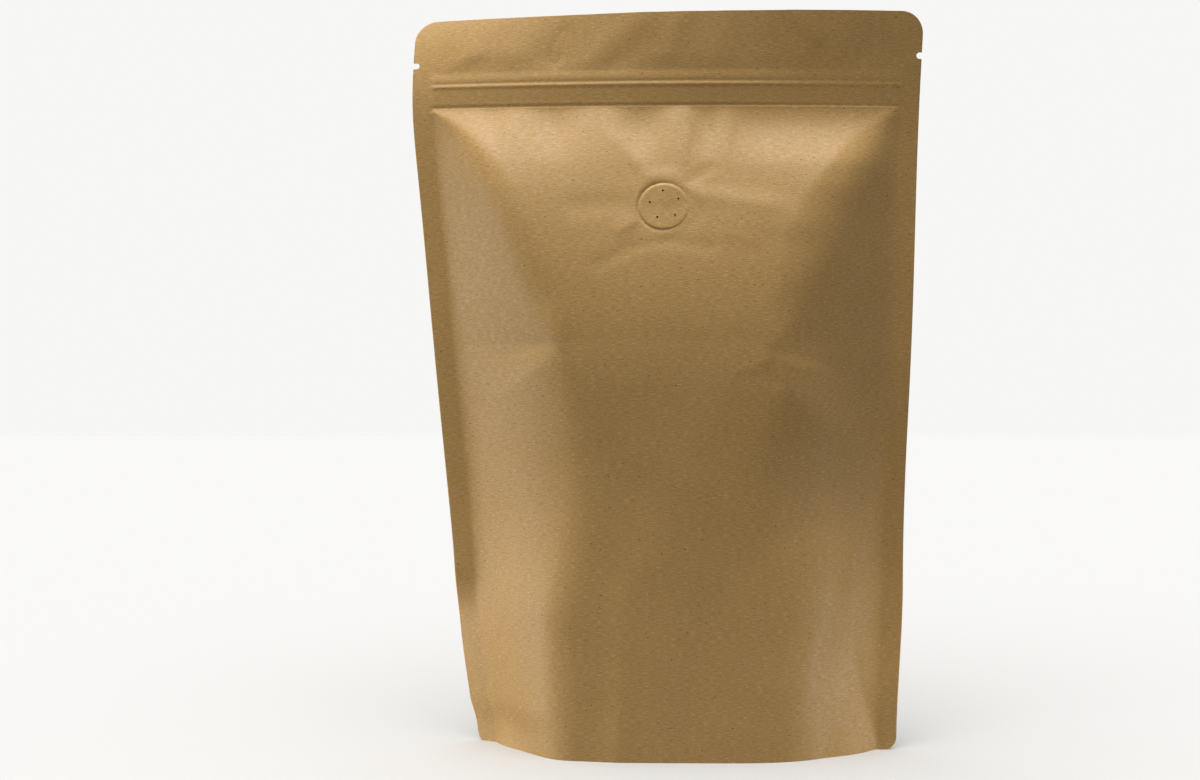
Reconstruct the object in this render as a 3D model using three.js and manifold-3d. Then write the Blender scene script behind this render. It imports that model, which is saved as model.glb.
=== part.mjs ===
// A filled stand-up coffee pouch of kraft paper with a one-way valve in its front.
// Millimetres, +Z up, front towards -Y, +X to the right. The origin is under the middle of the foot.
import * as THREE from 'three';
import { mergeVertices } from 'three/addons/utils/BufferGeometryUtils.js';
import Module from 'manifold-3d';

const wasm = await Module();
wasm.setup();

// Driving sizes of the pouch.
const height = 274.5;
const footLeft = -71.9; // edges at the floor, which lean out towards the zip
const footRight = 87.9;
const leanLeft = -0.1005; // sideways for each millimetre up
const leanRight = 0.0325;
const seal = 7; // side seals
const paper = 0.3; // half of the sealed thickness
const topRound = 8.5; // corner radii
const footRound = 4.5;
const footDepth = 32; // middle of the foot to the front skirt
const waist = 150; // height of the dents
const knee = 130; // from here up the front bends back
const bend = 27.3; // by so much at the zip
const zipFoot = 239; // the zip's relief, from its lower to its upper edge
const zipRib = 247.2;
const zipTop = 253.3;
const foldLine = 247; // the open band above here leans back at the left
const notchDepth = 2.4;
const notchWidth = 2.5;
const notchHeightLeft = 256.2;
const notchHeightRight = 258.2;

// Driving sizes of the valve.
const valveHeight = 199.5;
const valveDepth = 16; // from the seal plane to the face
const valveLean = THREE.MathUtils.degToRad(16.5);
const discRadius = 9.1;
const discThick = 1.6;
const discRound = 0.3;
const gap = 0.25; // round the disc and behind it
const grooveWidth = 0.8;
const grooveDepth = 0.4;
const holeRadius = 0.35;
const holeDeep = 1.1;
const holeCircle = 5.55;
const holeCount = 5;
const firstHole = THREE.MathUtils.degToRad(97);

const clamp = (value) => Math.min(Math.max(value, 0), 1);
const smooth = (value) => clamp(value) ** 2 * (3 - 2 * clamp(value));
const bell = (value) => Math.exp(-value * value);
const ramp = (value, width) => width * Math.log1p(Math.exp(value / width));

// Left and right edges of the flat pack at a height, without the round corners.
function edges(h) {
  const bow = 1.2 * bell((h - 42) / 22);
  const tuck = 1.5 * (1 - smooth((h - 6) / 11));
  const spread = 0.12 * ramp(h - 238, 6) - 0.015 * ramp(h - 200, 12);
  const left = footLeft + leanLeft * h - bow + tuck + spread;
  const waistRight = 1.2 * bell((h - 92) / 52);
  const tuckRight = 2.3 * smooth((62 - h) / 56);
  const right = footRight + leanRight * h - waistRight - tuckRight + 0.01 * ramp(h - 215, 12);
  return [left, right];
}
const footEdges = edges(0);

// How far the round corners draw the edges in.
function cornerCut(h) {
  const up = Math.max(h - (height - topRound), 0);
  const down = Math.max(footRound - h, 0);
  const top = topRound - Math.sqrt(topRound ** 2 - up ** 2);
  const foot = footRound - Math.sqrt(footRound ** 2 - down ** 2);
  return [top + 0.4 * foot, top + foot];
}

// Depth of the front along its middle: upright to the knee, then back in a parabola to the zip.
function crown(h) {
  const upright = footDepth - 0.03 * Math.min(h, waist);
  return upright - bend * clamp((h - knee) / (zipFoot - knee)) ** 2;
}

// Where the two ridges run at a height, from the dents out to the ends of the zip.
function ridges(h) {
  const upLeft = clamp((h - 149) / 89.3);
  const upRight = clamp((h - 147) / 91.3);
  const left = -37.6 - 36.4 * upLeft - 16 * upLeft ** 9;
  const right = 41.7 + 39.5 * upRight ** 1.4 + 6.5 * upRight ** 12;
  return [left, right];
}

// Under the zip: place along it, half width, and how much more slowly the roof starts there.
const puckers = [
  [-65, 4, 1.2],
  [-41.5, 8, 3.4],
  [-9, 7, 6.5],
  [5.5, 4, -1],
  [15.5, 4.5, 5],
  [24, 3, -2],
];

// Height over which the roof bends off the zip: short at the left, long at the right.
function roofOnset(x) {
  let onset = 0.6 + 8 * smooth((x - 12) / 24) * smooth((91 - x) / 16);
  for (const [middle, width, more] of puckers) {
    onset += more * bell((x - middle) / width);
  }
  return Math.max(onset, 0.3);
}

// Depth of the roof between the ridges, which sags a little.
function roofDepth(x, h) {
  const fromZip = Math.max(zipFoot - h, 0);
  const onset = roofOnset(x);
  const late = onset * fromZip / (fromZip + onset) * smooth((h - 214) / 20);
  const sagHere = smooth((h - waist) / 60) * smooth((zipFoot + 1 - h) / 34);
  const sag = 3.2 * sagHere * (Math.min(Math.abs(x) / 58, 1.2) ** 2 - 0.25);
  return crown(h + late) + sag;
}

// Depth of a side: a soft start at its seal, a rise to the full depth at the ridge, and on past it.
function facet(start, toRidge, full, roundness, onset) {
  const reach = Math.max(toRidge, 0.5);
  const t = start ** 2 / (start + onset) * (reach + onset) / reach ** 2;
  const past = Math.max(t - 1, 0);
  const rise = t + roundness * t * (1 - t);
  return full * (t < 1 ? rise : 1 + (1 - roundness) * past + 1.5 * past ** 4) + 0.02;
}

// The smaller of two, with the corner between them rounded off.
function lower(a, b, soft) {
  const near = Math.max(soft - Math.abs(a - b), 0) / soft;
  return Math.min(a, b) - near ** 2 * soft / 4;
}

// Depth of the filled body in front of the seal plane; the back is the same.
function bodyDepth(x, h) {
  if (h >= zipFoot) {
    return 0;
  }
  const [left, right] = edges(h);
  const [ridgeLeft, ridgeRight] = ridges(h);
  const fromLeft = Math.max(x - left - seal, 0);
  const fromRight = Math.max(right - seal - x, 0);
  const roof = roofDepth(x, h);

  // The sides are rounder under the dents: the change fans out from each dent towards the edge.
  const awayLeft = Math.max(-38.5 - x, 0);
  const awayRight = Math.max(x - 41.7, 0);
  const stepLeft = smooth((149.8 - 0.19 * awayLeft - h) / (5 + 0.6 * awayLeft));
  const stepRight = smooth((148 - 0.25 * awayRight - h) / (12 + 0.9 * awayRight));
  const growing = smooth((waist - h) / 60);
  const easing = 1 - 0.6 * smooth((92 - h) / 44);
  const roundLeft = 0.12 + 0.34 * stepLeft + 0.36 * growing;
  const roundRight = 0.45 + 0.5 * stepRight - 0.14 * growing - 0.15 * smooth((h - 165) / 50);
  const reachLeft = ridgeLeft - left - seal + (1.5 * stepLeft + 16 * growing) * easing;
  const reachRight = right - seal - ridgeRight + 3 * stepRight + 12 * growing;
  const onsetLeft = 4 + 6 * stepLeft;
  const onsetRight = 5 + 9 * smooth((120 - h) / 45);
  const side = x < 0
    ? facet(fromLeft, reachLeft, roofDepth(ridgeLeft, h), roundLeft, onsetLeft)
    : facet(fromRight, reachRight, roofDepth(ridgeRight, h), roundRight, onsetRight);
  const softness = x < 0 ? 4.5 : 2.5 + 5 * smooth((h - 168) / 32);
  const ridgeSoft = 1 + softness * smooth((h - 149) / 18) * smooth((236 - h) / 26);
  const barrel = lower(side, roof, ridgeSoft + 0.055 * Math.max(waist - 4 - h, 0));

  // The skirt: one round curve along the floor, leaning back upwards at the ears.
  const acrossLeft = clamp((8 - x) / (8 - footEdges[0] - seal));
  const acrossRight = clamp((x - 8) / (footEdges[1] - seal - 8));
  const foot = footDepth * (1 - acrossLeft ** 3.2) * (1 - acrossRight ** 4.2) ** 1.25;
  const lean = 0.05 + 0.28 * smooth((x - 40 - 0.34 * h) / 26) + 0.16 * smooth((-30 - x) / 24);
  const skirt = foot - lean * h - 0.5 * ramp(h - 75, 6);
  const earSoft = 4 * smooth((x - 45) / 15) * smooth((78 - x) / 12);
  const skirtSoft = 0.4 + 2.2 * smooth((Math.abs(x - 2) - 14) / 22) + earSoft;
  return Math.max(-lower(-barrel, -skirt, skirtSoft), 0);
}

// Zip relief: a flat flange, a thin rib with a hairline over it, and the plate down to the foot.
function zipRelief(x, h) {
  const [left, right] = edges(h);
  const inside = smooth((x - left - 6) / 2.5) * smooth((right - 6 - x) / 2.5);
  const flange = 0.34 * smooth((zipTop - h) / 3.6) - 0.1 * smooth((zipRib - 1.3 - h) / 5);
  const rib = 0.3 * bell((h - zipRib) / 0.72) - 0.1 * bell((h - zipRib - 1.3) / 0.45);
  const fade = 1 - 0.72 * smooth((x - 12) / 62);
  return (flange + rib) * fade * smooth((h - zipFoot - 0.2) / 1.3) * inside;
}

// Depth of the front's outer face: body, dents, zip relief and the flat seat of the valve.
function frontDepth(x, h) {
  let depth = bodyDepth(x, h) + zipRelief(x, h);
  const underLeft = smooth((149.6 + 0.19 * (x + 38.5) - h) / 3);
  const underRight = smooth((147 - 0.25 * (x - 41.7) - h) / 5);
  depth += 0.35 * bell(Math.hypot((x + 45) / 9, (h - 144) / 7)) * underLeft;
  depth -= 0.15 * bell(Math.hypot((x + 33.5) / 4, (h - 147) / 5));
  depth += 0.5 * bell(Math.hypot((x - 50) / 10, (h - 143) / 8)) * underRight;

  const fromValve = Math.hypot(x, (h - valveHeight) / Math.cos(valveLean));
  const seat = 1 - smooth((fromValve - 11.5) / 6);
  const flat = valveDepth - paper - Math.tan(valveLean) * (h - valveHeight);
  depth = depth * (1 - seat) + flat * seat;
  return depth + paper;
}

function backDepth(x, h) {
  return bodyDepth(x, h) + 0.8 * zipRelief(x, h) + paper;
}

// A point of the front (depth over 0) or the back. The lower end of the left seal curls back and that
// of the right one forward, the zip bows a little, and the band over it leans back at the left.
function place(x, h, depth) {
  const [left] = edges(h);
  const curlLeft = 0.55 * Math.max(left + 10 - x, 0) * smooth((66 - h) / 22);
  const curlRight = 8 * smooth((x - 56) / 22) * smooth((75 - h) / 75);
  const bow = 5 * (x / 90) ** 2 * smooth((h - 120) / 118);
  const lean = THREE.MathUtils.degToRad(31 * clamp((95 - x) / 190) ** 1.75 - 7);
  const up = ramp(h - foldLine, 8);
  return [x, -depth + curlLeft - curlRight + bow + up * Math.sin(lean), h];
}

// Stations from zones of [start, end, steps], closer together where the shape turns quickly.
function stations(zones) {
  const list = [zones[0][0]];
  for (const [start, end, steps] of zones) {
    for (let step = 1; step <= steps; step += 1) {
      list.push(start + (end - start) * step / steps);
    }
  }
  return list;
}

const rows = stations([
  [0, footRound, 3],
  [footRound, 20, 3],
  [20, 60, 6],
  [60, 136, 8],
  [136, 156, 7],
  [156, 228, 13],
  [228, zipFoot, 6],
  [zipFoot, zipTop, 9],
  [zipTop, height - topRound, 2],
  [height - topRound, height, 5],
]);

// Columns: a few over each seal, then evenly spread to each ridge, and between the ridges.
const nearEdge = [0, 3.5, seal, 9.5, 13];
const sideSteps = 6;
const middleSteps = 23;
const columns = 2 * nearEdge.length + 2 * sideSteps + middleSteps - 1;
const corner = 4; // a ridge's column stays so far from the ones over the seal

// Sideways places of all columns at a height.
function columnPlaces(h) {
  const cut = cornerCut(h);
  const left = edges(h)[0] + cut[0];
  const right = edges(h)[1] - cut[1];
  const overSeal = nearEdge[nearEdge.length - 1];
  const ridgeLeft = Math.max(ridges(h)[0], left + overSeal + corner);
  const ridgeRight = Math.min(ridges(h)[1], right - overSeal - corner);
  const inner = stations([
    [left + overSeal, ridgeLeft, sideSteps],
    [ridgeLeft, ridgeRight, middleSteps],
    [ridgeRight, right - overSeal, sideSteps],
  ]);
  const atLeft = nearEdge.slice(0, -1).map((from) => left + from);
  const atRight = nearEdge.slice(0, -1).reverse().map((from) => right - from);
  return [...atLeft, ...inner, ...atRight];
}

// Height of the underside between the skirts: flat in the middle, with a groove inside each skirt.
const grooveStations = [2, 4.5, 8];
const grooveHeights = [1.5, 2.3, 0];

function pouchGeometry() {
  const points = [];
  const faces = [];
  const add = (point) => points.push(point) - 1;
  const quad = (a, b, c, d) => faces.push([a, b, c], [a, c, d]);

  const grid = (depthAt, sign) => rows.map((h) => {
    return columnPlaces(h).map((x) => add(place(x, h, sign * depthAt(x, h))));
  });
  const front = grid(frontDepth, 1);
  const back = grid(backDepth, -1);
  for (let row = 0; row + 1 < rows.length; row += 1) {
    for (let column = 0; column + 1 < columns; column += 1) {
      quad(front[row][column], front[row][column + 1], front[row + 1][column + 1], front[row + 1][column]);
      quad(back[row][column + 1], back[row][column], back[row + 1][column], back[row + 1][column + 1]);
    }
    const last = columns - 1;
    quad(back[row][0], front[row][0], front[row + 1][0], back[row + 1][0]);
    quad(front[row][last], back[row][last], back[row + 1][last], front[row + 1][last]);
  }
  const top = rows.length - 1;
  for (let column = 0; column + 1 < columns; column += 1) {
    quad(front[top][column], front[top][column + 1], back[top][column + 1], back[top][column]);
  }

  // The underside: strips across the foot, thin ends closed with plain faces.
  const endColumns = 4;
  const strip = Array.from({ length: columns }, (_, column) => {
    const ends = [front[0][column], back[0][column]];
    if (column < endColumns || column > columns - 1 - endColumns) {
      return ends;
    }
    const [x, yFront] = points[ends[0]];
    const yBack = points[ends[1]][1];
    const scale = Math.min((yBack - yFront) / 30, 1);
    const inner = grooveStations.map((y, i) => add([x, yFront + y * scale, grooveHeights[i] * scale]));
    const centre = add([x, (yFront + yBack) / 2, 0]);
    const outer = grooveStations.map((y, i) => add([x, yBack - y * scale, grooveHeights[i] * scale]));
    return [ends[0], ...inner, centre, ...outer.reverse(), ends[1]];
  });
  for (let column = 0; column + 1 < columns; column += 1) {
    const here = strip[column];
    const next = strip[column + 1];
    if (here.length === next.length) {
      for (let i = 0; i + 1 < here.length; i += 1) {
        quad(here[i], here[i + 1], next[i + 1], next[i]);
      }
    } else if (here.length < next.length) {
      next.slice(1).forEach((point, i) => faces.push([here[0], point, next[i]]));
      faces.push([here[0], here[1], next[next.length - 1]]);
    } else {
      here.slice(1).forEach((point, i) => faces.push([here[i], point, next[0]]));
      faces.push([here[here.length - 1], next[1], next[0]]);
    }
  }

  const geometry = new THREE.BufferGeometry();
  geometry.setAttribute('position', new THREE.Float32BufferAttribute(points.flat(), 3));
  geometry.setIndex(faces.flat());
  return geometry;
}

function toManifold(geometry) {
  const bare = geometry.clone();
  bare.deleteAttribute('normal');
  bare.deleteAttribute('uv');
  const merged = mergeVertices(bare, 1e-4);
  return new wasm.Manifold(new wasm.Mesh({
    numProp: 3,
    vertProperties: new Float32Array(merged.attributes.position.array),
    triVerts: new Uint32Array(merged.index.array),
  }));
}

// A cut leaves some very short edges: those under the tolerance are closed up.
const shortEdge = 0.02;

function toGeometry(solid) {
  const mesh = solid.simplify(shortEdge).getMesh();
  const geometry = new THREE.BufferGeometry();
  geometry.setAttribute('position', new THREE.Float32BufferAttribute(mesh.vertProperties, 3));
  geometry.setIndex(new THREE.Uint32BufferAttribute(mesh.triVerts, 1));
  geometry.computeVertexNormals();
  return geometry;
}

// A turned solid round the valve's axis: points are [radius, distance in front of the face].
function turned(profile, segments) {
  const outline = profile.map(([radius, out]) => new THREE.Vector2(radius, out));
  return new THREE.LatheGeometry(outline, segments);
}

// Turns a shape from upright to facing out of the leaning front, and moves it to the valve's centre.
function onValve(geometry) {
  geometry.rotateX(Math.PI - valveLean);
  geometry.translate(0, -valveDepth, valveHeight);
  return geometry;
}

// The seat in the front: a flat bottomed pocket with a shallow groove round its mouth.
const pocketRadius = discRadius + gap;
const pocketFloor = -(discThick + gap);
const seatCut = onValve(turned([
  [0, pocketFloor],
  [pocketRadius, pocketFloor],
  [pocketRadius, -grooveDepth],
  [pocketRadius + grooveWidth, 0],
  [pocketRadius + grooveWidth + 1, 1.2],
  [0, 1.2],
], 48));

// A tear notch: a round ended slot that runs out past the edge.
function notchCut(edge, inward, h) {
  const shape = new THREE.Shape();
  const radius = notchWidth / 2;
  const centre = notchDepth - radius;
  shape.moveTo(-3, -radius);
  shape.lineTo(centre, -radius);
  shape.absarc(centre, 0, radius, -Math.PI / 2, Math.PI / 2, false);
  shape.lineTo(-3, radius);
  shape.closePath();
  const cut = new THREE.ExtrudeGeometry(shape, { depth: 60, bevelEnabled: false, curveSegments: 8 });
  cut.rotateX(Math.PI / 2);
  cut.translate(0, 30, 0);
  if (inward < 0) {
    cut.rotateZ(Math.PI);
  }
  cut.translate(edge, 0, h);
  return cut;
}

let pouch = toManifold(pouchGeometry()).subtract(toManifold(seatCut));
pouch = pouch.subtract(toManifold(notchCut(edges(notchHeightLeft)[0], 1, notchHeightLeft)));
pouch = pouch.subtract(toManifold(notchCut(edges(notchHeightRight)[1], -1, notchHeightRight)));

// The valve: a round edged disc with a ring of vent holes in its face.
let valve = toManifold(onValve(turned([
  [0, -discThick],
  [discRadius, -discThick],
  [discRadius, -discRound],
  [discRadius - 0.3 * discRound, -0.3 * discRound],
  [discRadius - discRound, 0],
  [0, 0],
], 48)));
for (let hole = 0; hole < holeCount; hole += 1) {
  const angle = firstHole + hole * 2 * Math.PI / holeCount;
  const drill = new THREE.CylinderGeometry(holeRadius, holeRadius, 2 * holeDeep, 12);
  drill.translate(holeCircle * Math.cos(angle), 0, -holeCircle * Math.sin(angle));
  valve = valve.subtract(toManifold(onValve(drill)));
}

const kraft = new THREE.MeshStandardMaterial({ color: 0xa58450, roughness: 0.7, metalness: 0 });
const kraftDisc = new THREE.MeshStandardMaterial({ color: 0xa98956, roughness: 0.65, metalness: 0 });

const group = new THREE.Group();
group.name = 'kraftCoffeePouch';
const pieces = [['pouch', pouch, kraft], ['valve', valve, kraftDisc]];
for (const [name, solid, material] of pieces) {
  const mesh = new THREE.Mesh(toGeometry(solid), material);
  mesh.name = name;
  group.add(mesh);
}

export default group;
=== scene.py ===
from math import cos, radians, sin, tan

import bpy
import numpy as np
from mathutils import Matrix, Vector


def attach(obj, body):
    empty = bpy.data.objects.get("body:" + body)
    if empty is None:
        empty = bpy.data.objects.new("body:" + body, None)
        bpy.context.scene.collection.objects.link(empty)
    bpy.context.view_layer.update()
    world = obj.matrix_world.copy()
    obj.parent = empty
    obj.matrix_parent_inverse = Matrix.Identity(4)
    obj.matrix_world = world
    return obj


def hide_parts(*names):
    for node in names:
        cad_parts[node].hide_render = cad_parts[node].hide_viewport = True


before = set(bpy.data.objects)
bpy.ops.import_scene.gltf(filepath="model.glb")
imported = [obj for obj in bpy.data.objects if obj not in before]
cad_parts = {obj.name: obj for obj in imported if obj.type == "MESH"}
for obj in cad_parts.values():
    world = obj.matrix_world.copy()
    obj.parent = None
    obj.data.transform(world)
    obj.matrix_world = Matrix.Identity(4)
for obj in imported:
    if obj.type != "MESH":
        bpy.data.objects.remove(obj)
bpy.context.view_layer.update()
scene = bpy.context.scene
mm = 0.001  # forms are worked out in millimetres, meshes are made in metres


camera = {
    "distance": 600.0,  # from the plane of the seals
    "eyeHeight": 132.4,
    "focalPixels": 1600.0,
    "imageWidth": 1200.0,
    "middlePixel": 664.5,  # where the pouch's middle falls across the image
    "turn": 1.2,  # degrees round the pouch, towards its right side
}

turn = radians(camera["turn"])
lens = bpy.data.cameras.new("camera")
lens.sensor_width = 36.0
lens.lens = camera["focalPixels"] / camera["imageWidth"] * lens.sensor_width
lens.shift_x = -(camera["middlePixel"] - camera["imageWidth"] / 2) / camera["imageWidth"]
lens.clip_start = 0.01
viewer = bpy.data.objects.new("camera", lens)
away = camera["distance"] * mm
viewer.location = (away * sin(turn), -away * cos(turn), camera["eyeHeight"] * mm)
viewer.rotation_euler = (radians(90), 0, turn)
scene.collection.objects.link(viewer)
scene.camera = viewer
scene.view_settings.view_transform = "Standard"
print("camera set")


studio = {
    "floorSize": 8.0,
    "floorColour": (0.80, 0.795, 0.78, 1),
    "floorLight": 3.0,
    "backdrop": (0.93, 0.925, 0.915, 1),
    "skyLight": 0.262,
}

floorMesh = bpy.data.meshes.new("floor")
reach = studio["floorSize"] / 2
floorCorners = [(-reach, -reach, 0), (reach, -reach, 0), (reach, reach, 0), (-reach, reach, 0)]
floorMesh.from_pydata(floorCorners, [], [(0, 1, 2, 3)])
floor = bpy.data.objects.new("floor", floorMesh)
floorPaint = bpy.data.materials.new("floorPaint")
floorPaint.use_nodes = True
floorShader = floorPaint.node_tree.nodes["Principled BSDF"]
floorShader.inputs["Base Color"].default_value = studio["floorColour"]
floorShader.inputs["Roughness"].default_value = 1.0
floorShader.inputs["Specular IOR Level"].default_value = 0.0
floorMesh.materials.append(floorPaint)
floor.visible_diffuse = False  # the white floor lights nothing by itself, so the shaded side stays deep
floor.visible_glossy = False
scene.collection.objects.link(floor)

onPouch = bpy.data.collections.new("litByPouchLights")
onFloor = bpy.data.collections.new("litByFloorLight")
onFloor.objects.link(floor)


def softLight(name, place, target, size, power, spread=180):  # a box of light on the pouch alone
    lamp = bpy.data.lights.new(name, "AREA")
    lamp.shape = "RECTANGLE"
    lamp.size, lamp.size_y = size
    lamp.energy = power
    lamp.spread = radians(spread)
    holder = bpy.data.objects.new(name, lamp)
    holder.location = place
    holder.rotation_euler = (Vector(target) - Vector(place)).to_track_quat("-Z", "Y").to_euler()
    holder.light_linking.receiver_collection = onPouch
    holder.visible_camera = False
    scene.collection.objects.link(holder)


softLight("topBox", (-0.09, -0.085, 1.05), (0, 0, 0.15), (0.7, 0.30), 13.2)
softLight("leftBox", (-0.80, -0.08, 0.10), (0, 0, 0.08), (0.5, 0.4), 4.4)
# the glows stand for what a white table throws back at the foot
softLight("leftGlow", (-0.17, -0.05, 0.012), (-0.05, -0.03, 0.03), (0.06, 0.03), 0.070)
softLight("frontGlow", (0.02, -0.13, 0.006), (0.02, -0.03, 0.02), (0.16, 0.01), 0.013)
softLight("rightGlow", (0.24, -0.05, 0.01), (0.05, -0.02, 0.022), (0.06, 0.03), 0.025, 70)
softLight("rightFill", (0.9, -0.2, 0.12), (0, 0, 0.12), (0.5, 0.5), 0.55)

skyLamp = bpy.data.lights.new("floorSky", "SUN")  # even light for the floor alone, with a wide soft shadow
skyLamp.energy = studio["floorLight"]
skyLamp.angle = radians(100)
floorSky = bpy.data.objects.new("floorSky", skyLamp)
floorSky.rotation_euler = (radians(12), radians(-8), 0)
floorSky.light_linking.receiver_collection = onFloor
scene.collection.objects.link(floorSky)

world = bpy.data.worlds.new("studioWorld")
scene.world = world
world.use_nodes = True
worldNodes, worldLinks = world.node_tree.nodes, world.node_tree.links
plain = worldNodes.new("ShaderNodeBackground")
plain.inputs["Color"].default_value = studio["backdrop"]
worldNodes["Background"].inputs["Color"].default_value = (1, 1, 1, 1)
worldNodes["Background"].inputs["Strength"].default_value = studio["skyLight"]
seen = worldNodes.new("ShaderNodeLightPath")
either = worldNodes.new("ShaderNodeMixShader")
worldLinks.new(seen.outputs["Is Camera Ray"], either.inputs["Fac"])
worldLinks.new(worldNodes["Background"].outputs[0], either.inputs[1])
worldLinks.new(plain.outputs[0], either.inputs[2])
worldLinks.new(either.outputs[0], worldNodes["World Output"].inputs["Surface"])
print("floor and light set")


pouch = {
    "height": 274.5,
    "footLeft": -71.9,  # edges at the floor, which lean out towards the zip
    "footRight": 87.9,
    "leanLeft": -0.1005,
    "leanRight": 0.0325,
    "seal": 7.0,
    "paper": 0.3,  # half of the sealed thickness
    "topRound": 8.5,
    "footRound": 4.5,
    "footRoundLeft": 0.4,  # so much of it shows at the left
    "footDepth": 32.0,
    "uprightLean": 0.03,  # back for each millimetre up
    "waist": 150.0,  # height of the dents, where the front starts to lean back
    "knee": 130.0,  # from here up the front bends back
    "bend": 27.3,
    "zipFoot": 239.0,
    "zipRib": 247.2,
    "zipTop": 253.3,
    "foldLine": 247.0,
    "notchDepth": 2.4,
    "notchDepthRight": 2.04,
    "notchWidth": 2.5,
    "notchLeft": 256.2,
    "notchRight": 258.2,
    "parting": 0.02,  # half of the hairline between the front and back panels
}
valve = {
    "height": 199.5,
    "depth": 16.0,
    "lean": radians(16.5),
    "seatRadius": 11.0,  # the paper is flat as far as this, and free over the blend outside it
    "seatBlend": 6.0,
    "creaseStart": 9.9,
    "creaseBlend": 2.6,
    "grooveRadius": 9.35,
    "grooveWidth": 0.46,
    "grooveDepth": 0.20,
    "grooveMore": 0.18,
    "grooveDeepest": radians(155),
    "seatFloor": 0.80,
    "discGap": 0.012,
    "discThick": 0.74,
    "holeRadius": 0.33,
    "holeShift": (0.4, 0.6),
    "holeCircle": 5.55,
    "holeCount": 5,
    "firstHole": radians(97),
}


def smooth(t):  # from 0 to 1 along 3t² - 2t³, level on both sides
    t = np.clip(t, 0, 1)
    return t * t * (3 - 2 * t)


def rise(value, start, over):  # that step from 0 at the start to 1 past it by over, or back by it if negative
    return smooth((value - start) / over)


def between(value, low, lowOver, high, highOver):  # 1 between two places, with a step inside each
    return rise(value, low, lowOver) * rise(value, high, -highOver)


def bell(t):  # a hill, e to the power -t²
    return np.exp(-t * t)


def ramp(t, width):  # zero, turning softly into t: the logarithm of 1 + e to the power t / width
    return width * np.logaddexp(0, t / width)


edgeBends = {  # height, how much of it the bend takes, and how far it goes sideways
    "bowLeft": (42, 22, 1.2),
    "bowRight": (92, 52, 1.2),
    "tuckLeft": (6, 11, 1.5),
    "tuckRight": (62, 56, 2.3),
    "turnLeft": (200, 12, 0.015),  # from these up, so far for each millimetre
    "turnRight": (215, 12, 0.01),
    "flareLeft": (238, 6, 0.12),
}


def edges(h):  # leaning straight lines with bows, tucks at the foot and turns under the top
    def bow(name):
        middle, over, size = edgeBends[name]
        return size * bell((h - middle) / over)

    def turned(name):
        start, over, size = edgeBends[name]
        return size * ramp(h - start, over)

    tuckStart, tuckOver, tuckLeft = edgeBends["tuckLeft"]
    left = pouch["footLeft"] + pouch["leanLeft"] * h - bow("bowLeft")
    left = left + tuckLeft * (1 - smooth((h - tuckStart) / tuckOver)) - turned("turnLeft") + turned("flareLeft")
    tuckEnd, tuckOver, tuckRight = edgeBends["tuckRight"]
    right = pouch["footRight"] + pouch["leanRight"] * h - bow("bowRight")
    right = right - tuckRight * smooth((tuckEnd - h) / tuckOver) + turned("turnRight")
    return left, right


def cornerCut(h):  # how far the round corners draw the left and right edges in: radius less a circle's height
    top, foot = pouch["topRound"], pouch["footRound"]
    up = np.clip(h - (pouch["height"] - top), 0, top)
    down = np.clip(foot - h, 0, foot)
    topCut = top - np.sqrt(top ** 2 - up ** 2)
    footCut = foot - np.sqrt(foot ** 2 - down ** 2)
    return topCut + pouch["footRoundLeft"] * footCut, topCut + footCut


def notchCut(h, middle, depth):  # a slot in from the edge, ending in half a circle
    radius = pouch["notchWidth"] / 2
    inside = np.abs(h - middle) < radius
    return np.where(inside, depth - radius + np.sqrt(np.clip(radius ** 2 - (h - middle) ** 2, 0, None)), 0)


def crown(h):  # depth along the middle: upright to the knee, then bending back in a parabola to the zip
    upright = pouch["footDepth"] - pouch["uprightLean"] * np.minimum(h, pouch["waist"])
    above = np.clip((h - pouch["knee"]) / (pouch["zipFoot"] - pouch["knee"]), 0, 1)
    return upright - pouch["bend"] * above ** 2


ridgeLines = {  # place across of each ridge's lower end, its height, and how far the ridge runs out
    "left": (-37.6, 149, -36.4),
    "leftFlare": (-16, 9),  # more at the very top, as so high a power of the height
    "right": (41.7, 147, 39.5),
    "rightFlare": (6.5, 12),
    "rightCurve": 1.4,
    "top": 238.3,
}


def ridges(h):  # where the two ridges run: the lower end, plus powers of the height above it
    startLeft, lowLeft, outLeft = ridgeLines["left"]
    startRight, lowRight, outRight = ridgeLines["right"]
    upLeft = np.clip((h - lowLeft) / (ridgeLines["top"] - lowLeft), 0, 1)
    upRight = np.clip((h - lowRight) / (ridgeLines["top"] - lowRight), 0, 1)
    flareLeft, powerLeft = ridgeLines["leftFlare"]
    flareRight, powerRight = ridgeLines["rightFlare"]
    left = startLeft + outLeft * upLeft + flareLeft * upLeft ** powerLeft
    right = startRight + outRight * upRight ** ridgeLines["rightCurve"] + flareRight * upRight ** powerRight
    return left, right


roof = {
    "onset": 0.6,  # height over which the roof bends off the zip: short at the left, long at the right
    "onsetRight": 8.0,
    "rightPart": (12, 24, 91, 16),  # from here, over so much, to there, over so much
    "lateUp": (214, 20),  # the onset shows from this height up, over so much
    "sag": 3.2,
    "sagHalf": 58.0,  # half of its breadth
    "sagPart": (150, 60, 240, 34),
    "puckers": [  # under the zip: place along it, half width, and how much more slowly the roof starts there
        (-65, 4, 1.2), (-41.5, 8, 3.4), (-9, 7, 6.5), (5.5, 4, -1.0), (15.5, 4.5, 5.0), (24, 3, -2.0),
    ],
}


def roofOnset(x):  # a step up at the right, plus a bell for each pucker
    onset = roof["onset"] + roof["onsetRight"] * between(x, *roof["rightPart"])
    for middle, width, more in roof["puckers"]:
        onset = onset + more * bell((x - middle) / width)
    return np.maximum(onset, 0.3)


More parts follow.
